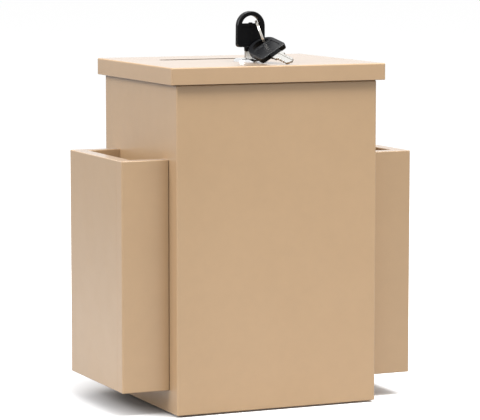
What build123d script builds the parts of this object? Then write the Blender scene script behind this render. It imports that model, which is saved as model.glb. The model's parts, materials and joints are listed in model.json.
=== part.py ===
from build123d import *
import os
from math import cos, sin, radians, sqrt

os.makedirs("parts", exist_ok=True)

# ---------------------------------------------------------------------------
# Driving dimensions, millimetres. X runs along the front, Y goes from the
# front to the back, Z is up. The origin is on the surface the box stands on,
# midway between the lid's front edge and the hinge knuckles.
# ---------------------------------------------------------------------------
YC = -2.1            # Y of the body's middle

BOARD = 12.0         # board thickness of body and pockets
W = 180.0            # body width
D = 161.7            # body depth
FOOT_H = 1.5         # low rubber feet
TOP_Z = 271.7        # top edge of the body boards
EDGE_R = 1.5         # eased painted edges

LID_Z = 272.0        # underside of the lid
LID_T = 14.0         # lid thickness
LID_SIDE = 6.3       # overhang at each side
LID_FRONT = 4.15     # overhang at the front
LID_BACK = 2.7       # overhang at the back
SLOT_L = 120.0       # slot for the papers
SLOT_W = 10.0
SLOT_Y = 30.0        # slot centre behind the body's middle

POCKET_OUT = 41.1    # how far a pocket stands out of the body side
POCKET_Y0 = -63.75   # pocket front face, from the body's middle
POCKET_Y1 = 58.0     # pocket back face
POCKET_Z0 = 20.0
POCKET_Z1 = 210.2

DOWEL_R = 3.0
DOWEL_FACE = 8.0     # dowel depth in the face of a board
DOWEL_EDGE = 16.0    # dowel depth in the edge of a board
FIT = 0.05           # glue and pilot clearance round dowels and screws

HINGE_X = 55.0       # hinge centres at plus and minus this
HINGE_L = 38.0       # hinge length
LEAF_T = 1.2
KNUCKLE_R = 2.6
PIN_R = 1.2
AXIS_Y = 86.6        # hinge axis behind the body's middle
AXIS_Z = 271.85
LEAF_Y0 = 70.95      # front edge of both leaves

LOCK_Y = -24.0       # lock axis in front of the body's middle
FLANGE_R = 14.0
FACE_H = 3.0         # lock face above the lid
BARREL_R = 9.5
BARREL_Z = 260.0     # bottom of the barrel
PLUG_R = 6.5
PLUG_HEAD_R = 7.4
CAM_T = 2.5
CAM_REACH = 42.0
CAM_W = 14.0
WAFER_STEP = 3.0

HEAD_W = 25.0        # key head
HEAD_H = 30.0
HEAD_T = 5.0
SHANK_W = 9.6        # wide part of the key's blade
SHANK_L = 9.1
BLADE_W = 7.2
BLADE_T = 2.0
BLADE_TIP = 25.6     # tip below the head
KEY_LIFT = 12.4      # head above the lid when the key is home

# derived
FRONT = YC - D / 2
BACK = YC + D / 2
IN_F = FRONT + BOARD
IN_B = BACK - BOARD
HX = W / 2
IX = HX - BOARD
BODY_H = TOP_Z - FOOT_H
LT = LID_Z + LID_T
LX = HX + LID_SIDE
LY0 = FRONT - LID_FRONT
LY1 = BACK + LID_BACK
AY = YC + AXIS_Y
PX = HX + POCKET_OUT
PY0 = YC + POCKET_Y0
PY1 = YC + POCKET_Y1
LKY = YC + LOCK_Y
FACE_Z = LT + FACE_H

DOWEL_Z = (40.0, 135.0, 230.0)          # body corner dowels
SCREW_Z = (60.0, 115.0, 190.0)          # pocket screws
SCREW_Y = (PY0 + BOARD / 2, PY1 - BOARD / 2)
FLOOR_X = (-40.0, 40.0)                 # dowels of the bottom board
POCKET_DOWEL_Z = (75.0, 170.0)


# ---------------------------------------------------------------------------
# Fasteners, each made once at the origin
# ---------------------------------------------------------------------------
def screw_shape(length, r, head_r, grow=0.0, recess=True):
    """Countersunk wood screw: head face at the origin, pointing along -Z."""
    cone = head_r - r
    with BuildPart() as s:
        with BuildSketch(Plane.XZ):
            with BuildLine():
                Polyline(
                    (0, 0),
                    (head_r + grow, 0),
                    (r + grow, -cone - grow),
                    (r + grow, -length + 2.2 * r),
                    (0, -length - grow),
                    close=True,
                )
            make_face()
        revolve(axis=Axis.Z)
        if recess:
            with BuildSketch(Plane.XY):
                Rectangle(head_r * 1.15, 0.28 * head_r)
                Rectangle(0.28 * head_r, head_r * 1.15)
            extrude(amount=-0.45 * head_r, mode=Mode.SUBTRACT)
    return s.part


def dowel_shape(front, back, r):
    """Dowel along Z: from -front to +back."""
    with BuildPart() as s:
        with BuildSketch(Plane.XY.offset(-front)):
            Circle(r)
        extrude(amount=front + back)
    return s.part


def at(shape, planes):
    """Copies of a shape with its own Z laid along each plane's normal."""
    return [shape.moved(Location(p)) for p in planes]


pocket_screw = screw_shape(29.0, 1.75, 3.4)
pocket_screw_hole = screw_shape(29.0, 1.75, 3.4, FIT, False)
cleat_screw = screw_shape(19.0, 1.5, 3.0)
cleat_screw_hole = screw_shape(19.0, 1.5, 3.0, FIT, False)
leaf_screw = screw_shape(15.0, 1.35, 2.6)
leaf_screw_hole = screw_shape(15.0, 1.35, 2.6, FIT, False)
lid_leaf_screw = screw_shape(11.0, 1.35, 2.6)
lid_leaf_screw_hole = screw_shape(11.0, 1.35, 2.6, FIT, False)

dowel = dowel_shape(DOWEL_FACE - 0.2, DOWEL_EDGE - 0.2, DOWEL_R)
dowel_hole = dowel_shape(DOWEL_FACE, DOWEL_EDGE, DOWEL_R + FIT)

# Planes of the dowels: origin on the joint face, normal into the edge board
body_dowel_planes = (
    [Plane(origin=(x, IN_F, z), z_dir=(0, 1, 0)) for x in (-HX + BOARD / 2, HX - BOARD / 2) for z in DOWEL_Z]
    + [Plane(origin=(x, IN_B, z), z_dir=(0, -1, 0)) for x in (-HX + BOARD / 2, HX - BOARD / 2) for z in DOWEL_Z]
)
floor_z = FOOT_H + BOARD / 2
floor_dowel_planes = (
    [Plane(origin=(x, IN_F, floor_z), z_dir=(0, 1, 0)) for x in FLOOR_X]
    + [Plane(origin=(x, IN_B, floor_z), z_dir=(0, -1, 0)) for x in FLOOR_X]
    + [Plane(origin=(-IX, YC + y, floor_z), z_dir=(1, 0, 0)) for y in FLOOR_X]
    + [Plane(origin=(IX, YC + y, floor_z), z_dir=(-1, 0, 0)) for y in FLOOR_X]
)
all_body_dowels = body_dowel_planes + floor_dowel_planes


def pocket_planes(s):
    """Dowel and screw planes of one pocket; s is -1 left, +1 right."""
    xo = s * (PX - BOARD / 2)
    xf = s * (HX + (POCKET_OUT - BOARD) / 2)
    zf = POCKET_Z0 + BOARD / 2
    dowels = (
        [Plane(origin=(xo, PY0 + BOARD, z), z_dir=(0, 1, 0)) for z in POCKET_DOWEL_Z]
        + [Plane(origin=(xo, PY1 - BOARD, z), z_dir=(0, -1, 0)) for z in POCKET_DOWEL_Z]
        + [Plane(origin=(xf, PY0 + BOARD, zf), z_dir=(0, 1, 0))]
        + [Plane(origin=(xf, PY1 - BOARD, zf), z_dir=(0, -1, 0))]
    )
    screws = [Plane(origin=(s * IX, y, z), z_dir=(-s, 0, 0)) for y in SCREW_Y for z in SCREW_Z]
    return dowels, screws


left_dowels, left_screws = pocket_planes(-1)
right_dowels, right_screws = pocket_planes(1)
cleat_planes = [Plane(origin=(x, IN_F + BOARD, 266.0), z_dir=(0, 1, 0)) for x in (-18.0, 18.0)]
body_leaf_planes = [
    Plane(origin=(x + dx, YC + 76.0, TOP_Z), z_dir=(0, 0, 1)) for x in (-HINGE_X, HINGE_X) for dx in (-12.0, 12.0)
]
lid_leaf_planes = [
    Plane(origin=(x + dx, YC + 76.0, LID_Z), z_dir=(0, 0, -1)) for x in (-HINGE_X, HINGE_X) for dx in (-12.0, 12.0)
]

# ---------------------------------------------------------------------------
# Body boards
# ---------------------------------------------------------------------------
with BuildPart() as front_panel:
    with BuildSketch(Plane.XY.offset(FOOT_H)):
        with Locations((0, FRONT + BOARD / 2)):
            Rectangle(W, BOARD)
    extrude(amount=BODY_H)
    fillet(front_panel.edges().filter_by(Axis.Z).group_by(Axis.Y)[0], EDGE_R)
    add(at(dowel_hole, body_dowel_planes[:6] + floor_dowel_planes[:2]), mode=Mode.SUBTRACT)
    add(at(cleat_screw_hole, cleat_planes), mode=Mode.SUBTRACT)
front_panel.part.label = "front_panel"
export_step(front_panel.part, "parts/front_panel.step")

with BuildPart() as back_panel:
    with BuildSketch(Plane.XY.offset(FOOT_H)):
        with Locations((0, BACK - BOARD / 2)):
            Rectangle(W, BOARD)
    extrude(amount=BODY_H)
    fillet(back_panel.edges().filter_by(Axis.Z).group_by(Axis.Y)[-1], EDGE_R)
    # mortises for the lower hinge leaves
    with BuildSketch(Plane.XY.offset(TOP_Z)):
        with Locations((-HINGE_X, BACK - 4.95), (HINGE_X, BACK - 4.95)):
            Rectangle(HINGE_L + 0.4, 10.1)
    extrude(amount=-LEAF_T, mode=Mode.SUBTRACT)
    add(at(dowel_hole, body_dowel_planes[6:] + floor_dowel_planes[2:4]), mode=Mode.SUBTRACT)
    add(at(leaf_screw_hole, body_leaf_planes), mode=Mode.SUBTRACT)
back_panel.part.label = "back_panel"
export_step(back_panel.part, "parts/back_panel.step")


with BuildPart() as left_side_panel:
    with BuildSketch(Plane.XY.offset(FOOT_H)):
        with Locations((-HX + BOARD / 2, YC)):
            Rectangle(BOARD, D - 2 * BOARD)
    extrude(amount=BODY_H)
    add(at(dowel_hole, all_body_dowels), mode=Mode.SUBTRACT)
    add(at(pocket_screw_hole, left_screws), mode=Mode.SUBTRACT)
left_side_panel.part.label = "left_side_panel"
export_step(left_side_panel.part, "parts/left_side_panel.step")

with BuildPart() as right_side_panel:
    with BuildSketch(Plane.XY.offset(FOOT_H)):
        with Locations((HX - BOARD / 2, YC)):
            Rectangle(BOARD, D - 2 * BOARD)
    extrude(amount=BODY_H)
    add(at(dowel_hole, all_body_dowels), mode=Mode.SUBTRACT)
    add(at(pocket_screw_hole, right_screws), mode=Mode.SUBTRACT)
right_side_panel.part.label = "right_side_panel"
export_step(right_side_panel.part, "parts/right_side_panel.step")

with BuildPart() as bottom_panel:
    with BuildSketch(Plane.XY.offset(FOOT_H)):
        with Locations((0, YC)):
            Rectangle(2 * IX, D - 2 * BOARD)
    extrude(amount=BOARD)
    add(at(dowel_hole, floor_dowel_planes), mode=Mode.SUBTRACT)
bottom_panel.part.label = "bottom_panel"
export_step(bottom_panel.part, "parts/bottom_panel.step")

with BuildPart() as carcase_dowels:
    add(at(dowel, all_body_dowels))
carcase_dowels.part.label = "carcase_dowels"
export_step(carcase_dowels.part, "parts/carcase_dowels.step")

# Cleat behind the front board: the lock's cam turns under it
with BuildPart() as strike_cleat:
    with BuildSketch(Plane.XY.offset(BARREL_Z + 0.1)):
        with Locations((0, IN_F + BOARD / 2)):
            Rectangle(60.0, BOARD)
    extrude(amount=TOP_Z - BARREL_Z - 0.1)
    add(at(cleat_screw_hole, cleat_planes), mode=Mode.SUBTRACT)
strike_cleat.part.label = "strike_cleat"
export_step(strike_cleat.part, "parts/strike_cleat.step")

with BuildPart() as cleat_screws:
    add(at(cleat_screw, cleat_planes))
cleat_screws.part.label = "cleat_screws"
export_step(cleat_screws.part, "parts/cleat_screws.step")

with BuildPart() as rubber_feet:
    with BuildSketch(Plane.XY):
        with Locations((-66, YC - 57), (66, YC - 57), (-66, YC + 57), (66, YC + 57)):
            Circle(6.0)
    extrude(amount=FOOT_H)
rubber_feet.part.label = "rubber_feet"
export_step(rubber_feet.part, "parts/rubber_feet.step")


# ---------------------------------------------------------------------------
# Side pockets: outer board and floor between a front and a back board
# ---------------------------------------------------------------------------
def pocket(side, s, dowels, screws):
    with BuildPart() as front:
        with BuildSketch(Plane.XY.offset(POCKET_Z0)):
            with Locations((s * (HX + POCKET_OUT / 2), PY0 + BOARD / 2)):
                Rectangle(POCKET_OUT, BOARD)
        extrude(amount=POCKET_Z1 - POCKET_Z0)
        outer = front.edges().filter_by(Axis.Z).group_by(Axis.X)[-1 if s > 0 else 0]
        fillet(outer.group_by(Axis.Y)[0], EDGE_R)
        add(at(dowel_hole, dowels), mode=Mode.SUBTRACT)
        add(at(pocket_screw_hole, screws), mode=Mode.SUBTRACT)
    front.part.label = side + "_pocket_front"
    export_step(front.part, "parts/" + side + "_pocket_front.step")

    with BuildPart() as back:
        with BuildSketch(Plane.XY.offset(POCKET_Z0)):
            with Locations((s * (HX + POCKET_OUT / 2), PY1 - BOARD / 2)):
                Rectangle(POCKET_OUT, BOARD)
        extrude(amount=POCKET_Z1 - POCKET_Z0)
        outer = back.edges().filter_by(Axis.Z).group_by(Axis.X)[-1 if s > 0 else 0]
        fillet(outer.group_by(Axis.Y)[-1], EDGE_R)
        add(at(dowel_hole, dowels), mode=Mode.SUBTRACT)
        add(at(pocket_screw_hole, screws), mode=Mode.SUBTRACT)
    back.part.label = side + "_pocket_back"
    export_step(back.part, "parts/" + side + "_pocket_back.step")

    with BuildPart() as outer_board:
        with BuildSketch(Plane.XY.offset(POCKET_Z0)):
            with Locations((s * (PX - BOARD / 2), (PY0 + PY1) / 2)):
                Rectangle(BOARD, PY1 - PY0 - 2 * BOARD)
        extrude(amount=POCKET_Z1 - POCKET_Z0)
        add(at(dowel_hole, dowels), mode=Mode.SUBTRACT)
    outer_board.part.label = side + "_pocket_outer"
    export_step(outer_board.part, "parts/" + side + "_pocket_outer.step")

    with BuildPart() as floor:
        with BuildSketch(Plane.XY.offset(POCKET_Z0)):
            with Locations((s * (HX + (POCKET_OUT - BOARD) / 2), (PY0 + PY1) / 2)):
                Rectangle(POCKET_OUT - BOARD, PY1 - PY0 - 2 * BOARD)
        extrude(amount=BOARD)
        add(at(dowel_hole, dowels), mode=Mode.SUBTRACT)
    floor.part.label = side + "_pocket_floor"
    export_step(floor.part, "parts/" + side + "_pocket_floor.step")

    with BuildPart() as pegs:
        add(at(dowel, dowels))
    pegs.part.label = side + "_pocket_dowels"
    export_step(pegs.part, "parts/" + side + "_pocket_dowels.step")

    with BuildPart() as fixings:
        add(at(pocket_screw, screws))
    fixings.part.label = side + "_pocket_screws"
    export_step(fixings.part, "parts/" + side + "_pocket_screws.step")


pocket("left", -1, left_dowels, left_screws)
pocket("right", 1, right_dowels, right_screws)

# ---------------------------------------------------------------------------
# Lid board with its slot, lock hole and hinge mortises
# ---------------------------------------------------------------------------
with BuildPart() as lid_board:
    with BuildSketch(Plane.XY.offset(LID_Z)):
        with Locations((0, (LY0 + LY1) / 2)):
            Rectangle(2 * LX, LY1 - LY0)
    extrude(amount=LID_T)
    fillet(lid_board.edges().filter_by(Axis.Z), EDGE_R)
    fillet(lid_board.faces().sort_by(Axis.Z)[-1].edges(), EDGE_R * 0.8)
    with BuildSketch(Plane.XY.offset(LID_Z)):
        with Locations((0, YC + SLOT_Y)):
            SlotOverall(SLOT_L, SLOT_W)
    extrude(amount=LID_T, mode=Mode.SUBTRACT)
    # round hole with two flats, so that the lock can't turn in the lid
    with BuildSketch(Plane.XY.offset(LID_Z)):
        with Locations((0, LKY)):
            Circle(BARREL_R + 0.1)
            Rectangle(2 * BARREL_R, 2 * 8.3, mode=Mode.INTERSECT)
    extrude(amount=LID_T, mode=Mode.SUBTRACT)
    with BuildSketch(Plane.XY.offset(LID_Z)):
        with Locations((-HINGE_X, LY1 - 6.3), (HINGE_X, LY1 - 6.3)):
            Rectangle(HINGE_L + 0.4, 12.8)
    extrude(amount=LEAF_T, mode=Mode.SUBTRACT)
    add(at(lid_leaf_screw_hole, lid_leaf_planes), mode=Mode.SUBTRACT)
lid_board.part.label = "lid_board"
export_step(lid_board.part, "parts/lid_board.step")

# ---------------------------------------------------------------------------
# Two butt hinges: lower leaves on the back board, upper leaves in the lid
# ---------------------------------------------------------------------------
MID = 6.3            # half length of the middle knuckle
GAP = 0.3            # end play between knuckles
pivot = Plane(origin=(0, AY, AXIS_Z), x_dir=(0, 1, 0), z_dir=(1, 0, 0))

with BuildPart() as body_hinge_leaves:
    # plates that lie on the back board's top edge
    with BuildSketch(Plane.XY.offset(TOP_Z - LEAF_T)):
        for xc in (-HINGE_X, HINGE_X):
            with Locations((xc, (YC + LEAF_Y0 + AY) / 2)):
                Rectangle(HINGE_L, AXIS_Y - LEAF_Y0)
            with Locations((xc, AY)):
                Rectangle(2 * (MID + GAP), 6.0, mode=Mode.SUBTRACT)
    extrude(amount=LEAF_T)
    # outer knuckles
    for xc in (-HINGE_X, HINGE_X):
        for x0, x1 in ((xc - HINGE_L / 2, xc - MID - GAP), (xc + MID + GAP, xc + HINGE_L / 2)):
            with BuildSketch(pivot.offset(x0)):
                Circle(KNUCKLE_R)
            extrude(amount=x1 - x0)
        with BuildSketch(pivot.offset(xc - HINGE_L / 2 - 1)):
            Circle(PIN_R + FIT)
        extrude(amount=HINGE_L + 2, mode=Mode.SUBTRACT)
    add(at(leaf_screw_hole, body_leaf_planes), mode=Mode.SUBTRACT)
body_hinge_leaves.part.label = "body_hinge_leaves"
export_step(body_hinge_leaves.part, "parts/body_hinge_leaves.step")

with BuildPart() as lid_hinge_leaves:
    with BuildSketch(Plane.XY.offset(LID_Z)):
        for xc in (-HINGE_X, HINGE_X):
            with Locations((xc, (YC + LEAF_Y0 + AY - 3.0) / 2)):
                Rectangle(HINGE_L, AXIS_Y - 3.0 - LEAF_Y0)
            with Locations((xc, AY - 2.0)):
                Rectangle(2 * MID, 4.0)
    extrude(amount=LEAF_T)
    for xc in (-HINGE_X, HINGE_X):
        with BuildSketch(pivot.offset(xc - MID)):
            Circle(KNUCKLE_R)
        extrude(amount=2 * MID)
        with BuildSketch(pivot.offset(xc - HINGE_L / 2 - 1)):
            Circle(PIN_R + FIT)
        extrude(amount=HINGE_L + 2, mode=Mode.SUBTRACT)
    add(at(lid_leaf_screw_hole, lid_leaf_planes), mode=Mode.SUBTRACT)
lid_hinge_leaves.part.label = "lid_hinge_leaves"
export_step(lid_hinge_leaves.part, "parts/lid_hinge_leaves.step")

with BuildPart() as hinge_pins:
    for xc in (-HINGE_X, HINGE_X):
        with BuildSketch(pivot.offset(xc - HINGE_L / 2 - 0.3)):
            Circle(PIN_R)
        extrude(amount=HINGE_L + 0.6)
hinge_pins.part.label = "hinge_pins"
export_step(hinge_pins.part, "parts/hinge_pins.step")

with BuildPart() as body_leaf_screws:
    add(at(leaf_screw, body_leaf_planes))
body_leaf_screws.part.label = "body_leaf_screws"
export_step(body_leaf_screws.part, "parts/body_leaf_screws.step")

with BuildPart() as lid_leaf_screws:
    add(at(lid_leaf_screw, lid_leaf_planes))
lid_leaf_screws.part.label = "lid_leaf_screws"
export_step(lid_leaf_screws.part, "parts/lid_leaf_screws.step")

# ---------------------------------------------------------------------------
# Cam lock in the lid
# ---------------------------------------------------------------------------
lock_xz = Plane(origin=(0, LKY, 0), x_dir=(1, 0, 0), z_dir=(0, -1, 0))
lock_axis = Axis((0, LKY, 0), (0, 0, 1))
SHOULDER_Z = FACE_Z - 1.6        # seat of the plug's head

with BuildPart() as lock_housing:
    # face with a domed rim, barrel, and a bore stepped for the plug's head
    with BuildSketch(lock_xz):
        with BuildLine():
            l1 = Polyline(
                (PLUG_R + FIT + 0.03, BARREL_Z),
                (BARREL_R, BARREL_Z),
                (BARREL_R, LT),
                (FLANGE_R, LT),
                (FLANGE_R, LT + 0.5),
            )
            l2 = RadiusArc((FLANGE_R, LT + 0.5), (FLANGE_R - 2.5, FACE_Z), -2.5)
            Polyline(
                (FLANGE_R - 2.5, FACE_Z),
                (PLUG_HEAD_R + 0.1, FACE_Z),
                (PLUG_HEAD_R + 0.1, SHOULDER_Z - 0.05),
                (PLUG_R + FIT + 0.03, SHOULDER_Z - 0.05),
                (PLUG_R + FIT + 0.03, BARREL_Z),
            )
        make_face()
    revolve(axis=lock_axis)
    # flats on the barrel
    with BuildSketch(Plane.XY.offset(BARREL_Z)):
        with Locations((0, LKY - 8.2 - 2.0), (0, LKY + 8.2 + 2.0)):
            Rectangle(2 * BARREL_R + 2, 4.0)
    extrude(amount=LT - BARREL_Z, mode=Mode.SUBTRACT)
lock_housing.part.label = "lock_housing"
export_step(lock_housing.part, "parts/lock_housing.step")

with BuildPart() as lock_washer:
    with BuildSketch(Plane.XY.offset(LID_Z)):
        with Locations((0, LKY)):
            Circle(13.0)
            Circle(BARREL_R + FIT, mode=Mode.SUBTRACT)
    extrude(amount=-0.8)
lock_washer.part.label = "lock_washer"
export_step(lock_washer.part, "parts/lock_washer.step")

with BuildPart() as lock_nut:
    with BuildSketch(Plane.XY.offset(LID_Z - 0.8)):
        with Locations((0, LKY)):
            RegularPolygon(radius=12.0, side_count=6, major_radius=False)
            Circle(BARREL_R + FIT, mode=Mode.SUBTRACT)
    extrude(amount=-4.0)
    fillet(lock_nut.edges().filter_by(Axis.Z).filter_by(lambda e: e.length < 4.5), 0.6)
lock_nut.part.label = "lock_nut"
export_step(lock_nut.part, "parts/lock_nut.step")

WAFER_Z = [LT - 2.0 - WAFER_STEP * k for k in range(4)]
CAM_TOP = BARREL_Z - 0.3

with BuildPart() as lock_plug:
    with BuildSketch(lock_xz):
        with BuildLine():
            Polyline(
                (0, CAM_TOP),
                (PLUG_R, CAM_TOP),
                (PLUG_R, SHOULDER_Z),
                (PLUG_HEAD_R, SHOULDER_Z),
                (PLUG_HEAD_R, FACE_Z - 0.2),
                (PLUG_HEAD_R - 0.3, FACE_Z),
                (0, FACE_Z),
                close=True,
            )
        make_face()
    revolve(axis=lock_axis)
    # square boss for the cam
    with BuildSketch(Plane.XY.offset(CAM_TOP)):
        with Locations((0, LKY)):
            Rectangle(8.0, 8.0)
    extrude(amount=-CAM_T)
    # key way
    with BuildSketch(Plane.XY.offset(FACE_Z)):
        with Locations((0, LKY)):
            Rectangle(7.9, 2.5)
    extrude(amount=-18.5, mode=Mode.SUBTRACT)
    # wafer slots, with a side pocket for each spring
    for z in WAFER_Z:
        with BuildSketch(Plane.XY.offset(z - 0.6)):
            with Locations((0, LKY)):
                Rectangle(15.0, 5.2)
            with Locations((1.45, LKY + 3.25)):
                Rectangle(5.7, 1.3)
        extrude(amount=1.2, mode=Mode.SUBTRACT)
    # tapped hole for the cam screw
    with BuildSketch(Plane.XY.offset(CAM_TOP - CAM_T)):
        with Locations((0, LKY)):
            Circle(2.5 + 0.03)
    extrude(amount=9.0, mode=Mode.SUBTRACT)
lock_plug.part.label = "lock_plug"
export_step(lock_plug.part, "parts/lock_plug.step")

with BuildPart() as lock_wafers:
    for z in WAFER_Z:
        with BuildSketch(Plane.XY.offset(z - 0.5)):
            with Locations((0, LKY)):
                Rectangle(11.6, 5.0)
            with Locations((-0.75, LKY + 3.05)):
                Rectangle(0.9, 1.1)
            with Locations((0, LKY)):
                Rectangle(8.2, 2.7, mode=Mode.SUBTRACT)
        extrude(amount=1.0)
lock_wafers.part.label = "lock_wafers"
export_step(lock_wafers.part, "parts/lock_wafers.step")

with BuildPart() as wafer_springs:
    for z in WAFER_Z:
        with BuildSketch(Plane(origin=(-0.25, LKY + 3.2, z), z_dir=(1, 0, 0))):
            Circle(0.5)
        extrude(amount=4.5)
wafer_springs.part.label = "wafer_springs"
export_step(wafer_springs.part, "parts/wafer_springs.step")

# Cam: points to +X with the lid free to open
with BuildPart() as lock_cam:
    with BuildSketch(Plane.XY.offset(CAM_TOP - CAM_T)):
        with Locations((0, LKY)):
            Circle(CAM_W / 2 + 1.0)
        with Locations(((CAM_REACH - 3.0) / 2, LKY)):
            Rectangle(CAM_REACH - 3.0, CAM_W)
        with Locations((CAM_REACH - 3.0, LKY)):
            Rectangle(6.0, CAM_W - 6.0)
        with Locations((CAM_REACH - 3.0, LKY + CAM_W / 2 - 3.0), (CAM_REACH - 3.0, LKY - CAM_W / 2 + 3.0)):
            Circle(3.0)
        with Locations((0, LKY)):
            Rectangle(8.06, 8.06, mode=Mode.SUBTRACT)
    extrude(amount=CAM_T)
lock_cam.part.label = "lock_cam"
export_step(lock_cam.part, "parts/lock_cam.step")

with BuildPart() as cam_screw:
    with BuildSketch(Plane.XY.offset(CAM_TOP - CAM_T)):
        with Locations((0, LKY)):
            Circle(5.2)
    extrude(amount=-2.4)
    fillet(cam_screw.faces().sort_by(Axis.Z)[0].edges(), 0.9)
    with BuildSketch(Plane.XY.offset(CAM_TOP - CAM_T)):
        with Locations((0, LKY)):
            Circle(2.5)
    extrude(amount=8.6)
    with BuildSketch(Plane.XY.offset(CAM_TOP - CAM_T - 2.4)):
        with Locations((0, LKY)):
            Rectangle(6.0, 1.1)
            Rectangle(1.1, 6.0)
    extrude(amount=1.3, mode=Mode.SUBTRACT)
cam_screw.part.label = "cam_screw"
export_step(cam_screw.part, "parts/cam_screw.step")


# ---------------------------------------------------------------------------
# Keys. Key plane: local X along the key to its tip, local Y across it,
# origin where the blade leaves the head.
# ---------------------------------------------------------------------------
HOLE_R = 8.8
HOLE_X = -19.8       # flat side of the half-moon hole
ARC_X = -(HEAD_H - HEAD_W / 2)


def key_head(kp, name):
    r = HEAD_W / 2
    with BuildPart() as head:
        with BuildSketch(kp):
            with BuildLine():
                Line((ARC_X, r), (0, r + 0.2))
                Line((0, r + 0.2), (0, -r - 0.2))
                Line((0, -r - 0.2), (ARC_X, -r))
                ThreePointArc((ARC_X, -r), (ARC_X - r, 0), (ARC_X, r))
            make_face()
        extrude(amount=HEAD_T / 2, both=True)
        corner = [
            e
            for e in head.edges().filter_by(Axis(kp.origin, kp.z_dir))
            if abs(kp.to_local_coords(e.center()).X) < 0.1
        ]
        fillet(corner, 2.6)
        top = head.faces().filter_by(Axis(kp.origin, kp.z_dir))
        fillet([e for f in top for e in f.edges()], 0.8)
        # half-moon hole for the ring
        with BuildSketch(kp.offset(-HEAD_T)):
            with Locations((ARC_X, 0)):
                Circle(HOLE_R)
            with Locations((HOLE_X + 10.0, 0)):
                Rectangle(20.0, 30.0, mode=Mode.SUBTRACT)
        extrude(amount=2 * HEAD_T, mode=Mode.SUBTRACT)
        # sunk panel inside the rim, both faces
        for off in (HEAD_T / 2 - 0.5, -HEAD_T / 2 - 0.5):
            with BuildSketch(kp.offset(off)):
                with Locations((-10.2, 0)):
                    RectangleRounded(14.2, 18.6, 1.6)
            extrude(amount=1.0, mode=Mode.SUBTRACT)
        # slot that holds the blade's tang
        with BuildSketch(kp.offset(-BLADE_T / 2)):
            with Locations((-6.0, 0)):
                Rectangle(12.0, SHANK_W)
        extrude(amount=BLADE_T, mode=Mode.SUBTRACT)
    head.part.label = name
    export_step(head.part, "parts/" + name + ".step")


def key_blade(kp, name):
    s, b = SHANK_W / 2, BLADE_W / 2
    bits = [(11.6, 0.7), (14.2, 1.2), (16.8, 0.5), (19.4, 1.0)]
    upper = [(-12.0, s), (SHANK_L, s), (SHANK_L, b)]
    for x, d in bits:
        upper += [(x - 0.9, b), (x - 0.25, b - d), (x + 0.25, b - d), (x + 0.9, b)]
    upper += [(23.4, b), (BLADE_TIP, 1.3)]
    lower = [(x, -y) for x, y in reversed(upper)]
    with BuildPart() as blade:
        with BuildSketch(kp.offset(-BLADE_T / 2)):
            with BuildLine():
                Polyline(*upper, *lower, close=True)
            make_face()
        extrude(amount=BLADE_T)
        # long milled grooves, one on each face
        for off, y in ((BLADE_T / 2 - 0.5, 1.1), (-BLADE_T / 2 - 0.5, -1.1)):
            with BuildSketch(kp.offset(off)):
                with Locations(((5.0 + 30.0) / 2, y)):
                    Rectangle(25.0, 1.3)
            extrude(amount=1.0, mode=Mode.SUBTRACT)
    blade.part.label = name
    export_step(blade.part, "parts/" + name + ".step")


# Key standing in the lock: its flat side faces the front
key_plane = Plane(origin=(0, LKY, LT + KEY_LIFT), x_dir=(0, 0, -1), z_dir=(0, -1, 0))
# Spare key: a corner of its head and its tip rest on the lid, the split ring
# holds its hole up in front of the first key
spare_plane = Plane(
    origin=(7.58072, LKY - 32.53584, LT + 8.27216),
    x_dir=(0.15005, -0.96212, -0.22761),
    z_dir=(-0.49859, -0.27244, 0.82291),
)
key_head(key_plane, "lock_key_head")
key_blade(key_plane, "lock_key_blade")
key_head(spare_plane, "spare_key_head")
key_blade(spare_plane, "spare_key_blade")

# Split ring through both heads
RING_R = 12.476
RING_WIRE = 1.0
ring_plane = Plane(
    origin=(9.21794, LKY - 1.61831, LT + 22.34474),
    x_dir=(-0.33624, 0.12971, 0.9328),
    z_dir=(-0.8632, 0.35362, -0.36032),
)
with BuildPart() as key_ring:
    with Locations(ring_plane):
        Torus(RING_R, RING_WIRE)
key_ring.part.label = "key_ring"
export_step(key_ring.part, "parts/key_ring.step")
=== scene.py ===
import bpy
import bmesh
import json
import math
from mathutils import Matrix, Vector


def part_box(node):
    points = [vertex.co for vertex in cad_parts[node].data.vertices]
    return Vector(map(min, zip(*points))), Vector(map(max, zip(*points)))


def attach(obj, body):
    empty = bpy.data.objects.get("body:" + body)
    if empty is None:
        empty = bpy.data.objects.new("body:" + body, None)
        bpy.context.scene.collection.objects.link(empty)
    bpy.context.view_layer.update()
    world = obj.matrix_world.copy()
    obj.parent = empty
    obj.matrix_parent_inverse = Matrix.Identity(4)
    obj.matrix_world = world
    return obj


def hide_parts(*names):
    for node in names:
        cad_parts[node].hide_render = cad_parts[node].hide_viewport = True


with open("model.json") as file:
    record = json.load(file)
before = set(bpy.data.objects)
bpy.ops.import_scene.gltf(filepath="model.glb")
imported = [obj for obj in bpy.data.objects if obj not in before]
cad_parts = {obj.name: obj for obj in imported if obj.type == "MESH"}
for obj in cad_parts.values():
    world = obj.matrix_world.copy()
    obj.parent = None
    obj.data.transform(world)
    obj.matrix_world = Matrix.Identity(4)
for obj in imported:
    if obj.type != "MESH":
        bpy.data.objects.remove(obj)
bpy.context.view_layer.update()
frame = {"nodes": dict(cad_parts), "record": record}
nodes = frame["nodes"]
scene = bpy.context.scene


def link(o):
    scene.collection.objects.link(o)
    return o


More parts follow.
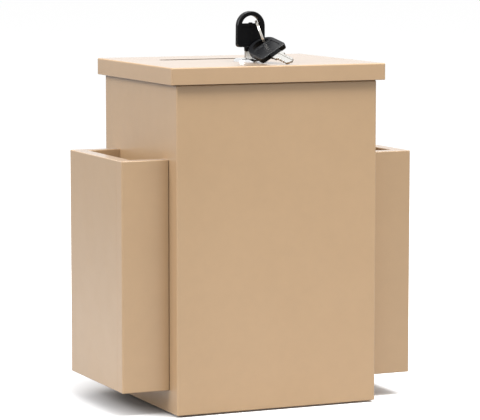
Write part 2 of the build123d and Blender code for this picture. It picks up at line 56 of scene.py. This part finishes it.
# ---------------------------------------------------------------------------
# Camera at the photograph's place
# ---------------------------------------------------------------------------
def add_camera():
    data = bpy.data.cameras.new("camera")
    cam = link(bpy.data.objects.new("camera", data))
    yaw, pitch, roll = math.radians(24.0), math.radians(-6.4), math.radians(0.05)
    cam.location = (-0.87656, -1.99754, 0.40257)
    cam.rotation_mode = "QUATERNION"
    look = Vector((math.sin(yaw) * math.cos(pitch), math.cos(yaw) * math.cos(pitch), math.sin(pitch)))
    q = look.to_track_quat("-Z", "Y")
    cam.rotation_quaternion = q @ Matrix.Rotation(roll, 3, "Z").to_quaternion()
    data.sensor_width = 36.0
    data.lens = 193.12
    data.shift_x = -0.0237
    data.shift_y = 0.0012
    data.clip_start = 0.05
    data.clip_end = 60.0
    data.dof.use_dof = False
    scene.camera = cam


add_camera()


# ---------------------------------------------------------------------------
# Material helpers
# ---------------------------------------------------------------------------
class Shader:
    """A node material around one Principled shader, built step by step."""

    def __init__(self, name):
        self.mat = bpy.data.materials.new(name)
        self.mat.use_nodes = True
        self.nt = self.mat.node_tree
        self.nt.nodes.clear()
        out = self.nt.nodes.new("ShaderNodeOutputMaterial")
        self.bsdf = self.nt.nodes.new("ShaderNodeBsdfPrincipled")
        self.nt.links.new(self.bsdf.outputs[0], out.inputs["Surface"])
        self.coord = self.nt.nodes.new("ShaderNodeTexCoord").outputs["Object"]
        self.normal = None

    def set(self, **values):
        for key, v in values.items():
            self.bsdf.inputs[key.replace("_", " ")].default_value = v
        return self

    def stretch(self, scale=(1, 1, 1), rotation=(0, 0, 0)):
        m = self.nt.nodes.new("ShaderNodeMapping")
        m.inputs["Scale"].default_value = scale
        m.inputs["Rotation"].default_value = rotation
        self.nt.links.new(self.coord, m.inputs["Vector"])
        return m.outputs[0]

    def noise(self, scale, detail=2.0, rough=0.5, vec=None, distortion=0.0):
        n = self.nt.nodes.new("ShaderNodeTexNoise")
        n.inputs["Scale"].default_value = scale
        n.inputs["Detail"].default_value = detail
        n.inputs["Roughness"].default_value = rough
        n.inputs["Distortion"].default_value = distortion
        self.nt.links.new(self.coord if vec is None else vec, n.inputs["Vector"])
        return n.outputs["Fac"]

    def voronoi(self, scale, vec=None, feature="F1"):
        n = self.nt.nodes.new("ShaderNodeTexVoronoi")
        n.feature = feature
        n.inputs["Scale"].default_value = scale
        self.nt.links.new(self.coord if vec is None else vec, n.inputs["Vector"])
        return n.outputs["Distance"]

    def remap(self, value, lo, hi, from_lo=0.3, from_hi=0.7):
        n = self.nt.nodes.new("ShaderNodeMapRange")
        n.inputs["From Min"].default_value = from_lo
        n.inputs["From Max"].default_value = from_hi
        n.inputs["To Min"].default_value = lo
        n.inputs["To Max"].default_value = hi
        self.nt.links.new(value, n.inputs["Value"])
        return n.outputs[0]

    def grazing(self, start, end, most):
        """Rises from 0 to most as a surface is seen more and more edge-on."""
        n = self.nt.nodes.new("ShaderNodeLayerWeight")
        n.inputs["Blend"].default_value = 0.5
        return self.remap(n.outputs["Facing"], 0.0, most, start, end)

    def mix(self, fac, a, b, mode="MIX"):
        n = self.nt.nodes.new("ShaderNodeMix")
        n.data_type = "RGBA"
        n.blend_type = mode
        n.clamp_factor = True
        self.nt.links.new(fac, n.inputs[0])
        for sock, v in ((n.inputs[6], a), (n.inputs[7], b)):
            if isinstance(v, tuple):
                sock.default_value = (*v, 1.0)
            else:
                self.nt.links.new(v, sock)
        return n.outputs[2]

    def colour(self, value):
        self.nt.links.new(value, self.bsdf.inputs["Base Color"])
        return self

    def rough(self, value):
        self.nt.links.new(value, self.bsdf.inputs["Roughness"])
        return self

    def bump(self, height, strength, distance):
        n = self.nt.nodes.new("ShaderNodeBump")
        n.inputs["Strength"].default_value = strength
        n.inputs["Distance"].default_value = distance
        self.nt.links.new(height, n.inputs["Height"])
        if self.normal is not None:
            self.nt.links.new(self.normal, n.inputs["Normal"])
        self.normal = n.outputs[0]
        return self

    def done(self, coat=False):
        if self.normal is not None:
            self.nt.links.new(self.normal, self.bsdf.inputs["Normal"])
            if coat:
                self.nt.links.new(self.normal, self.bsdf.inputs["Coat Normal"])
        return self.mat


def painted(name, tint=(1.0, 1.0, 1.0), rough=0.42, fibre=0.0, coat=1.0):
    """Sprayed satin paint on fibreboard: faint mottling and orange peel, and painted shade: the colour turns to a dull
    brown where the surface is seen edge-on.
    """
    a = (0.455 * tint[0], 0.299 * tint[1], 0.163 * tint[2])
    b = (0.432 * tint[0], 0.281 * tint[1], 0.150 * tint[2])
    s = Shader(name)
    broad = s.noise(9.0, 3.0, 0.55)
    fine = s.noise(95.0, 3.0, 0.6)
    base = s.mix(s.remap(broad, 0.0, 1.0), a, b)
    speck = s.mix(s.remap(fine, 0.0, 1.0), (0.985, 0.985, 0.985), (1.015, 1.012, 1.008))
    n = s.nt.nodes.new("ShaderNodeMix")
    n.data_type = "RGBA"
    n.blend_type = "MULTIPLY"
    n.inputs[0].default_value = 1.0
    s.nt.links.new(base, n.inputs[6])
    s.nt.links.new(speck, n.inputs[7])
    # painted shade: the base colour is mixed towards a dull brown as the surface is seen edge-on, which darkens the
    # lid's top
    s.colour(s.mix(s.grazing(0.80, 0.97, 0.55), n.outputs[2], (0.27, 0.221, 0.192)))
    s.rough(s.remap(s.noise(40.0, 4.0, 0.6), rough - 0.03, rough + 0.04))
    s.set(Specular_IOR_Level=0.5, Coat_Weight=coat, Coat_Roughness=0.27, Coat_IOR=1.55)
    s.bump(s.noise(420.0, 1.5, 0.45), 0.10, 0.00006)
    if fibre > 0.0:
        s.bump(s.noise(1500.0, 3.0, 0.7), fibre, 0.00006)
    return s.done(coat=True)


def metal(name, colour, dark, rough, brushed=None, scale=900.0, strength=0.05):
    s = Shader(name)
    vec = s.stretch(brushed) if brushed else None
    grain = s.noise(scale, 3.0, 0.6, vec)
    cloud = s.noise(60.0, 3.0, 0.5)
    s.colour(s.mix(s.remap(cloud, 0.0, 1.0), colour, dark))
    s.rough(s.remap(grain, rough - 0.05, rough + 0.07))
    s.set(Metallic=1.0)
    s.bump(grain, strength, 0.00003)
    return s.done()


def moulded(name, colour, lighter, rough, spec, scale=1800.0, strength=0.25):
    """Moulded plastic with a fine spark-eroded texture."""
    s = Shader(name)
    s.colour(s.mix(s.remap(s.noise(120.0, 3.0, 0.6), 0.0, 1.0), colour, lighter))
    s.rough(s.remap(s.noise(300.0, 2.0, 0.5), rough - 0.04, rough + 0.05))
    s.set(Specular_IOR_Level=spec)
    s.bump(s.noise(scale, 2.0, 0.6), strength, 0.00004)
    return s.done()


def wood(name):
    s = Shader(name)
    grain = s.noise(160.0, 4.0, 0.6, s.stretch((1.0, 1.0, 0.12)))
    flecks = s.noise(900.0, 2.0, 0.6, s.stretch((1.0, 1.0, 0.3)))
    base = s.mix(s.remap(grain, 0.0, 1.0), (0.56, 0.36, 0.19), (0.44, 0.26, 0.12))
    s.colour(s.mix(s.remap(flecks, 0.0, 0.25, 0.55, 0.75), base, (0.30, 0.16, 0.07)))
    s.rough(s.remap(grain, 0.55, 0.7))
    s.bump(grain, 0.2, 0.0001)
    return s.done()


def fibreboard(name):
    """Bare cut fibreboard, as it shows inside the slot, coloured much darker than bare board: painted shade for the
    slot's inside and for the dark strips in the joint gaps.
    """
    s = Shader(name)
    s.colour(s.mix(s.remap(s.noise(700.0, 4.0, 0.65), 0.0, 1.0), (0.080, 0.046, 0.025), (0.048, 0.028, 0.015)))
    s.rough(s.remap(s.noise(300.0, 2.0), 0.82, 0.95))
    s.set(Specular_IOR_Level=0.2)
    s.bump(s.noise(1600.0, 3.0, 0.7), 0.4, 0.00008)
    return s.done()


MAT = {
    "painted_board": painted("painted_board_face"),
    # painted shade: a darker copy of the paint, used on the right pocket's front board
    "painted_shade_tint": painted("painted_board_shade_tint", (0.92, 0.92, 0.92)),
    "painted_edge": painted("painted_board_edge", (1.01, 1.01, 1.03), 0.46, 0.12),
    "painted_round": painted("painted_board_rounding", (0.97, 0.97, 0.97), 0.55, 0.06, 0.25),
    "beech": wood("beech_dowel"),
    "zinc_steel": metal("zinc_plated", (0.60, 0.60, 0.58), (0.50, 0.50, 0.49), 0.30, None, 1400.0, 0.06),
    "hinge_steel": metal("hinge_nickel", (0.66, 0.65, 0.61), (0.58, 0.57, 0.54), 0.30, (0.06, 1.0, 1.0), 1500.0, 0.08),
    "spring_steel": metal("bright_wire", (0.62, 0.62, 0.61), (0.55, 0.55, 0.54), 0.22),
    "foot_rubber": moulded("rubber", (0.022, 0.022, 0.023), (0.035, 0.034, 0.033), 0.62, 0.35, 1200.0, 0.4),
    "lock_chrome": metal("lock_chrome", (0.86, 0.86, 0.86), (0.80, 0.80, 0.81), 0.17, None, 700.0, 0.02),
    "wafer_brass": metal("wafer_brass", (0.72, 0.53, 0.25), (0.60, 0.43, 0.19), 0.30, (1.0, 0.1, 1.0), 1200.0, 0.06),
    "key_plastic": moulded("key_plastic", (0.0022, 0.0023, 0.0027), (0.0036, 0.0037, 0.0043), 0.38, 0.075),
    # key_panel: darker copy of the key plastic for the sunk panel, painted shade in the recess, also duller
    "key_panel": moulded("key_panel", (0.0012, 0.0013, 0.0015), (0.0022, 0.0023, 0.0026), 0.45, 0.03, 1500.0, 0.4),
    # key_rim: lighter copy of the key plastic for the rim's rounding, painted highlight, also glossier
    "key_rim": moulded("key_rim", (0.0055, 0.0057, 0.0066), (0.0085, 0.0087, 0.0100), 0.30, 0.42, 1800.0, 0.12),
    # key_edge: darker metal for the blade's cut sides, painted shade, with a duller stamped finish
    "key_edge": metal("key_edge_painted_shade", (0.34, 0.31, 0.27), (0.24, 0.21, 0.18), 0.36, None, 1800.0, 0.15),
    # dark strips for the joint gaps: painted shade
    "joint_gap_shade": fibreboard("joint_gap_shade"),
    "slot_wall_shade": fibreboard("bare_board_painted_shade"),
    "key_nickel": metal("key_nickel", (0.96, 0.95, 0.92), (0.86, 0.84, 0.79), 0.15, (1.0, 1.0, 0.08), 1500.0, 0.08),
    "ring_steel": metal("ring_nickel", (0.76, 0.74, 0.70), (0.62, 0.56, 0.47), 0.18, None, 500.0, 0.05),
}

slot_of = {s["node"]: s["material_slot"] for s in frame["record"]["subparts"]}
for name, o in nodes.items():
    mats = o.data.materials
    for i in range(len(mats)):
        mats[i] = MAT[slot_of[name]]


# ---------------------------------------------------------------------------
# Boards: the CAD board with eased edges and a separate finish on cut edges
# ---------------------------------------------------------------------------
def near(v, t, eps=2e-5):
    return abs(v - t) < eps


def eased_board(node, body, thick, free, joint=(), r_free=0.0007, r_joint=0.0002, crown=(), r_crown=0.0013,
                paint="painted_board"):
    """Copies a board's mesh and rounds its outer edges. thick is the axis of
    its thickness. free, joint and crown (the rim under the lid) are tests on
    an edge's midpoint."""
    src = nodes[node]
    lo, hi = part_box(node)
    bm = bmesh.new()
    bm.from_mesh(src.data)
    bmesh.ops.remove_doubles(bm, verts=bm.verts, dist=2e-6)
    bmesh.ops.dissolve_limit(bm, angle_limit=math.radians(0.4), verts=bm.verts, edges=bm.edges)

    def outer(e):
        if not e.is_manifold or e.calc_face_angle() < math.radians(40):
            return False
        p = (e.verts[0].co + e.verts[1].co) / 2
        close = sum(1 for k in range(3) if min(p[k] - lo[k], hi[k] - p[k]) < 0.00158)
        exact = sum(
            1
            for k in range(3)
            if (near(e.verts[0].co[k], lo[k]) and near(e.verts[1].co[k], lo[k]))
            or (near(e.verts[0].co[k], hi[k]) and near(e.verts[1].co[k], hi[k]))
        )
        return close >= 2 and exact >= 1

    for test, r, seg in ((crown, r_crown, 3), (free, r_free, 3), (joint, r_joint, 2)):
        picked = []
        for e in bm.edges:
            if outer(e):
                p = (e.verts[0].co + e.verts[1].co) / 2
                if callable(test) and test(p, lo, hi):
                    picked.append(e)
        if picked:
            bmesh.ops.bevel(
                bm, geom=picked, offset=r, offset_type="OFFSET", segments=seg, profile=0.5,
                affect="EDGES", clamp_overlap=True, loop_slide=True,
            )
    me = bpy.data.meshes.new(node + "_board")
    for f in bm.faces:
        f.smooth = True
        f.material_index = 0 if abs(f.normal[thick]) > 0.5 else 1
    bm.to_mesh(me)
    bm.free()
    me.set_sharp_from_angle(angle=math.radians(38))
    me.materials.append(MAT[paint])
    me.materials.append(MAT["painted_edge"])
    o = link(bpy.data.objects.new(node + "_board", me))
    w = o.modifiers.new("normals", "WEIGHTED_NORMAL")
    w.keep_sharp = True
    w.weight = 50
    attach(o, body)
    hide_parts(node)
    return o


def top_or_bottom(p, lo, hi):
    return near(p.z, lo.z, 4e-4) or near(p.z, hi.z, 4e-4)


FRONT_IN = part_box("front_panel")[1].y
BACK_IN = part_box("back_panel")[0].y

# the front and back boards cover the side boards' edges
eased_board(
    "front_panel", "box", 1,
    lambda p, lo, hi: near(p.z, lo.z, 4e-4) and p.y < hi.y - 0.001,
    lambda p, lo, hi: near(p.y, hi.y, 2e-4) and not top_or_bottom(p, lo, hi),
    crown=lambda p, lo, hi: near(p.z, hi.z, 4e-4) and p.y < hi.y - 0.001,
)
eased_board(
    "back_panel", "box", 1,
    lambda p, lo, hi: near(p.z, lo.z, 4e-4) and p.y > lo.y + 0.001,
    lambda p, lo, hi: near(p.y, lo.y, 2e-4) and not top_or_bottom(p, lo, hi),
)
for side, s in (("left", -1), ("right", 1)):
    def outward(p, lo, hi, s=s):
        return near(p.x, hi.x if s > 0 else lo.x, 2e-4)

    eased_board(
        side + "_side_panel", "box", 0,
        lambda p, lo, hi, t=outward: near(p.z, lo.z, 2e-4) and t(p, lo, hi),
        lambda p, lo, hi, t=outward: t(p, lo, hi) and not top_or_bottom(p, lo, hi),
        crown=lambda p, lo, hi, t=outward: near(p.z, hi.z, 2e-4) and t(p, lo, hi),
    )
    # pocket boards: rims, outer corners and the line against the body
    eased_board(
        side + "_pocket_front", "box", 1,
        lambda p, lo, hi, t=outward: not near(p.y, hi.y, 2e-4) or near(p.z, hi.z, 2e-4),
        lambda p, lo, hi, t=outward: near(p.y, hi.y, 2e-4) and t(p, lo, hi),
        r_free=0.0008,
        # the right pocket's front board takes the darker copy of the paint: painted shade
        paint="painted_board" if s < 0 else "painted_shade_tint",
    )
    eased_board(
        side + "_pocket_back", "box", 1,
        lambda p, lo, hi, t=outward: not near(p.y, lo.y, 2e-4) or near(p.z, hi.z, 2e-4),
        lambda p, lo, hi, t=outward: near(p.y, lo.y, 2e-4) and t(p, lo, hi),
        r_free=0.0008,
    )
    eased_board(
        side + "_pocket_outer", "box", 0,
        lambda p, lo, hi, t=outward: near(p.z, hi.z, 2e-4) and not (near(p.y, lo.y, 2e-4) or near(p.y, hi.y, 2e-4))
        or (near(p.z, lo.z, 2e-4) and t(p, lo, hi)),
        lambda p, lo, hi, t=outward: (near(p.y, lo.y, 2e-4) or near(p.y, hi.y, 2e-4)) and (t(p, lo, hi) or near(p.z, hi.z, 2e-4)),
        r_free=0.0008,
    )
lid = eased_board(
    "lid_board", "lid", 2,
    lambda p, lo, hi: near(p.z, lo.z, 2e-4),
    r_free=0.0004,
)
# the slot's walls are cut through the paint and left bare, coloured darker than bare board as painted shade inside the
# slot, and the paint is thinner and duller underneath and on the rounding of the top's rim
lid.data.materials.append(MAT["slot_wall_shade"])
lid.data.materials.append(MAT["painted_round"])
for f in lid.data.polygons:
    if f.normal.z < -0.9 or (0.1 < f.normal.z < 0.995 and f.center.z > 0.284):
        f.material_index = 3
    # slot walls: bare board coloured darker as painted shade
    if abs(f.normal.z) < 0.5 and abs(f.center.x) < 0.0605 and abs(f.center.y - 0.0279) < 0.0056:
        f.material_index = 2


# ---------------------------------------------------------------------------
# Joint lines: painted shade, thin dark strips in the narrow gap where a pocket's boards meet the body's side, standing
# in for the shade in that gap
# ---------------------------------------------------------------------------
def joint_gap_shades():
    for side, s in (("left", -1), ("right", 1)):
        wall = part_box(side + "_side_panel")[1 if s > 0 else 0].x
        bm = bmesh.new()
        for part, d in (("front", -1), ("back", 1)):
            lo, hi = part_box(side + "_pocket_" + part)
            face = lo.y if d < 0 else hi.y
            y0, y1 = sorted((face + d * 0.00030, face - d * 0.00085))
            x0, x1 = sorted((wall - s * 0.00010, wall + s * 0.00024))
            made = bmesh.ops.create_cube(bm, size=1.0)["verts"]
            for v in made:
                v.co = Vector((
                    x1 if v.co.x > 0 else x0,
                    y1 if v.co.y > 0 else y0,
                    (hi.z - 0.0006) if v.co.z > 0 else (lo.z + 0.0006),
                ))
        me = bpy.data.meshes.new(side + "_joint_gap_shades")
        bm.to_mesh(me)
        bm.free()
        # painted shade: a near-black strip fills the gap where the shade lies
        me.materials.append(MAT["joint_gap_shade"])
        o = link(bpy.data.objects.new(side + "_joint_gap_shades", me))
        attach(o, "box")


joint_gap_shades()


# ---------------------------------------------------------------------------
# Split ring: two turns of flattened wire with a step between them
# ---------------------------------------------------------------------------
def split_ring():
    lt, lky = 0.286, -0.0261
    centre = Vector((0.00921794, lky - 0.00161831, lt + 0.02234474))
    ex = Vector((-0.33624, 0.12971, 0.9328)).normalized()
    ez = Vector((-0.8632, 0.35362, -0.36032)).normalized()
    ey = ez.cross(ex).normalized()
    radius = 0.012476
    pitch = 0.00049          # half the step between the two turns
    hw, hh, cr = 0.00046, 0.00076, 0.00028   # half sizes of the wire's section
    step = math.radians(20)  # half the arc over which the wire steps across
    gap = math.radians(3)
    start_at = math.radians(200)
    a0 = step + gap
    a1 = 4 * math.pi - step - gap
    # rounded rectangle section
    section = []
    for cx, cy, t0 in ((1, 1, 0), (-1, 1, 90), (-1, -1, 180), (1, -1, 270)):
        for k in range(5):
            t = math.radians(t0 + 22.5 * k)
            section.append(((hw - cr) * cx + cr * math.cos(t), (hh - cr) * cy + cr * math.sin(t)))
    n = 300
    rings = []
    bm = bmesh.new()
    for i in range(n + 1):
        a = a0 + (a1 - a0) * i / n
        u = (a - (2 * math.pi - step)) / (2 * step)
        u = min(1.0, max(0.0, u))
        off = pitch * (-1.0 + 2.0 * (u * u * (3 - 2 * u)))
        # the wire's ends taper a little where they were cut and ground
        end = min(a - a0, a1 - a) / math.radians(9)
        k = 1.0 if end >= 1 else 0.72 + 0.28 * math.sqrt(max(0.0, 1 - (1 - end) ** 2))
        c, s = math.cos(a + start_at), math.sin(a + start_at)
        radial = ex * c + ey * s
        ring = []
        for w, h in section:
            ring.append(bm.verts.new(centre + radial * (radius + h * k) + ez * (off + w * k)))
        rings.append(ring)
    m = len(section)
    for p, q in zip(rings, rings[1:]):
        for j in range(m):
            bm.faces.new((p[j], p[(j + 1) % m], q[(j + 1) % m], q[j]))
    bm.faces.new(list(reversed(rings[0])))
    bm.faces.new(rings[-1])
    bmesh.ops.recalc_face_normals(bm, faces=bm.faces)
    for f in bm.faces:
        f.smooth = True
    me = bpy.data.meshes.new("split_ring")
    bm.to_mesh(me)
    bm.free()
    me.set_sharp_from_angle(angle=math.radians(50))
    me.materials.append(MAT["ring_steel"])
    o = link(bpy.data.objects.new("split_ring", me))
    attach(o, "key_ring")
    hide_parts("key_ring")


split_ring()


# ---------------------------------------------------------------------------
# Key heads: the CAD head with its rim, sunk panel and hole, a collar where the
# blade leaves it and a small stop on the flat side of the hole
# ---------------------------------------------------------------------------
def key_frame(origin, along, facing):
    x = Vector(along).normalized()
    z = Vector(facing).normalized()
    y = z.cross(x).normalized()
    m = Matrix((x, y, z)).transposed().to_4x4()
    m.translation = Vector(origin)
    return m


def rounded_block(bm, lo, hi, r, taper=1.0, seg=3):
    """Box from lo to hi with rounded edges, narrowed by taper at its far X end."""
    made = bmesh.ops.create_cube(bm, size=1.0)["verts"]
    for v in made:
        far = v.co.x > 0
        k = taper if far else 1.0
        v.co = Vector((
            hi[0] if far else lo[0],
            (hi[1] if v.co.y > 0 else lo[1]) * k,
            (hi[2] if v.co.z > 0 else lo[2]) * k,
        ))
    edges = list({e for v in made for e in v.link_edges})
    bmesh.ops.bevel(bm, geom=edges, offset=r, offset_type="OFFSET", segments=seg, profile=0.5,
                    affect="EDGES", clamp_overlap=True)


def dress_key_head(node, body, frame_m):
    src = nodes[node]
    inv = frame_m.inverted()
    bm = bmesh.new()
    bm.from_mesh(src.data)
    bmesh.ops.remove_doubles(bm, verts=bm.verts, dist=2e-6)
    bmesh.ops.dissolve_limit(bm, angle_limit=math.radians(0.5), verts=bm.verts, edges=bm.edges)
    bm.transform(inv)
    for f in bm.faces:
        c = f.calc_center_median()
        n = f.normal
        f.smooth = True
        # the sunk panel takes the darker copy (painted shade) and the sloped rim the lighter one (painted highlight)
        inside = -0.0174 < c.x < -0.0030 and abs(c.y) < 0.0094
        if inside and abs(c.z) < 0.00202 and abs(n.z) > 0.9:
            f.material_index = 1
        elif abs(n.z) < 0.97 and abs(n.z) > 0.03 and abs(c.z) > 0.0016:
            f.material_index = 2
        else:
            f.material_index = 0
    me = bpy.data.meshes.new(node + "_dressed")
    bm.transform(frame_m)
    bm.to_mesh(me)
    bm.free()
    me.set_sharp_from_angle(angle=math.radians(32))
    for k in ("key_plastic", "key_panel", "key_rim"):
        me.materials.append(MAT[k])
    o = link(bpy.data.objects.new(node + "_dressed", me))
    w = o.modifiers.new("normals", "WEIGHTED_NORMAL")
    w.keep_sharp = True
    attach(o, body)
    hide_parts(node)

    # collar round the blade and the stop in the hole
    for name, lo, hi, r, taper in (
        ("collar", (-0.0006, -0.0052, -0.0019), (0.0036, 0.0052, 0.0019), 0.0006, 0.94),
        ("stop", (-0.0206, -0.0012, -0.0017), (-0.0192, 0.0016, 0.0017), 0.0006, 1.0),
    ):
        bm = bmesh.new()
        rounded_block(bm, lo, hi, r, taper)
        for f in bm.faces:
            f.smooth = True
        bmesh.ops.recalc_face_normals(bm, faces=bm.faces)
        bm.transform(frame_m)
        me = bpy.data.meshes.new(node + "_" + name)
        bm.to_mesh(me)
        bm.free()
        me.set_sharp_from_angle(angle=math.radians(40))
        me.materials.append(MAT["key_plastic"])
        o = link(bpy.data.objects.new(node + "_" + name, me))
        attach(o, body)


def dress_key_blade(node, body, frame_m):
    """The CAD blade with a duller stamped finish on its cut edges, whose colour is also darkened as painted shade."""
    src = nodes[node]
    axis = (frame_m.to_3x3() @ Vector((0, 0, 1))).normalized()
    bm = bmesh.new()
    bm.from_mesh(src.data)
    bmesh.ops.remove_doubles(bm, verts=bm.verts, dist=2e-6)
    bmesh.ops.dissolve_limit(bm, angle_limit=math.radians(0.4), verts=bm.verts, edges=bm.edges)
    rim = [e for e in bm.edges if e.is_manifold and e.calc_face_angle() > math.radians(60)
           and sum(1 for f in e.link_faces if abs(f.normal.dot(axis)) > 0.9) == 1]
    bmesh.ops.bevel(bm, geom=rim, offset=0.00012, offset_type="OFFSET", segments=2, profile=0.5,
                    affect="EDGES", clamp_overlap=True)
    for f in bm.faces:
        f.smooth = True
        f.material_index = 0 if abs(f.normal.dot(axis)) > 0.5 else 1
    me = bpy.data.meshes.new(node + "_dressed")
    bm.to_mesh(me)
    bm.free()
    me.set_sharp_from_angle(angle=math.radians(35))
    me.materials.append(MAT["key_nickel"])
    me.materials.append(MAT["key_edge"])
    o = link(bpy.data.objects.new(node + "_dressed", me))
    w = o.modifiers.new("normals", "WEIGHTED_NORMAL")
    w.keep_sharp = True
    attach(o, body)
    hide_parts(node)


LOCK_KEY = key_frame((0.0, -0.0261, 0.2984), (0, 0, -1), (0, -1, 0))
SPARE_KEY = key_frame(
    (0.00758072, -0.0261 - 0.03253584, 0.286 + 0.00827216),
    (0.15005, -0.96212, -0.22761),
    (-0.49859, -0.27244, 0.82291),
)
dress_key_head("lock_key_head", "lock_key", LOCK_KEY)
dress_key_head("spare_key_head", "spare_key", SPARE_KEY)
dress_key_blade("lock_key_blade", "lock_key", LOCK_KEY)
dress_key_blade("spare_key_blade", "spare_key", SPARE_KEY)


# ---------------------------------------------------------------------------
# Floor and light. Three floors a hair apart: the one that the camera sees, one that reflections see and one that
# diffuse light bounces from. Their greys are painted light and shade: the seen floor has a painted shadow, a dark
# patch under the left pocket; the mirrored floor is painted brighter near the box, and the bounce floor bright just in
# front of it and dull farther off, painted pools of light. Three floors a hair apart: the one that the camera sees,
# one
# that reflections see and a duller one that diffuse light bounces from.
# ---------------------------------------------------------------------------
def add_floor(name, z, near_grey, far_grey, start=0.4, end=1.7, centre=(0.0, 0.0), squash=1.0):
    bm = bmesh.new()
    bmesh.ops.create_grid(bm, x_segments=8, y_segments=8, size=25.0)
    me = bpy.data.meshes.new(name)
    bm.to_mesh(me)
    bm.free()
    o = link(bpy.data.objects.new(name, me))
    o.location = (0, 0, z)
    s = Shader(name)
    away = s.nt.nodes.new("ShaderNodeVectorMath")
    away.operation = "DISTANCE"
    away.inputs[1].default_value = (centre[0], centre[1] * squash, 0.0)
    flat = s.nt.nodes.new("ShaderNodeVectorMath")
    flat.operation = "MULTIPLY"
    flat.inputs[1].default_value = (1.0, squash, 1.0)
    s.nt.links.new(s.coord, flat.inputs[0])
    s.nt.links.new(flat.outputs["Vector"], away.inputs[0])
    s.colour(s.mix(s.remap(away.outputs["Value"], 0.0, 1.0, start, end), (near_grey,) * 3, (far_grey,) * 3))
    s.set(Roughness=1.0, Specular_IOR_Level=0.0)
    me.materials.append(s.done())
    return o


# painted shadow: the seen floor is dark in a squashed patch under the left pocket
seen = add_floor("floor", 0.0, 0.28, 0.99, 0.014, 0.057, (-0.085, 0.0), 0.45)
seen.visible_diffuse = False
seen.visible_glossy = False
# painted pool of light for reflections: brighter near the box, dimmer far off
mirrored = add_floor("floor_mirrored", -0.0003, 0.95, 0.40, 0.4, 2.0)
mirrored.visible_camera = False
mirrored.visible_diffuse = False
# painted pool of bounce light: bright just in front of the box, dull farther off
bounce = add_floor("floor_bounce", -0.0006, 0.98, 0.06, 0.11, 0.46, (0.06, -0.22))
bounce.visible_camera = False
bounce.visible_glossy = False

world = bpy.data.worlds.new("studio")
scene.world = world
world.use_nodes = True
bg = world.node_tree.nodes["Background"]
bg.inputs["Color"].default_value = (1.0, 1.0, 1.0, 1.0)
bg.inputs["Strength"].default_value = 1.0


def softbox(name, at, aim, size_x, size_y, watts, colour=(1, 1, 1)):
    data = bpy.data.lights.new(name, "AREA")
    data.shape = "RECTANGLE"
    data.size = size_x
    data.size_y = size_y
    data.energy = watts
    data.color = colour
    o = link(bpy.data.objects.new(name, data))
    o.location = at
    o.rotation_mode = "QUATERNION"
    o.rotation_quaternion = (Vector(aim) - Vector(at)).to_track_quat("-Z", "Y")
    return o


softbox("key_light", (0.32, -0.72, 1.92), (0, 0, 0.15), 1.2, 0.7, 48.5)
softbox("left_fill", (-1.9, -0.10, 1.2), (-0.1, 0, 0.12), 1.0, 0.9, 30.0, (1.0, 1.01, 1.05))
softbox("front_fill", (-0.3, -2.6, 1.0), (0, 0, 0.10), 1.4, 0.6, 1.5)

scene.view_settings.view_transform = "Standard"
scene.view_settings.look = "None"
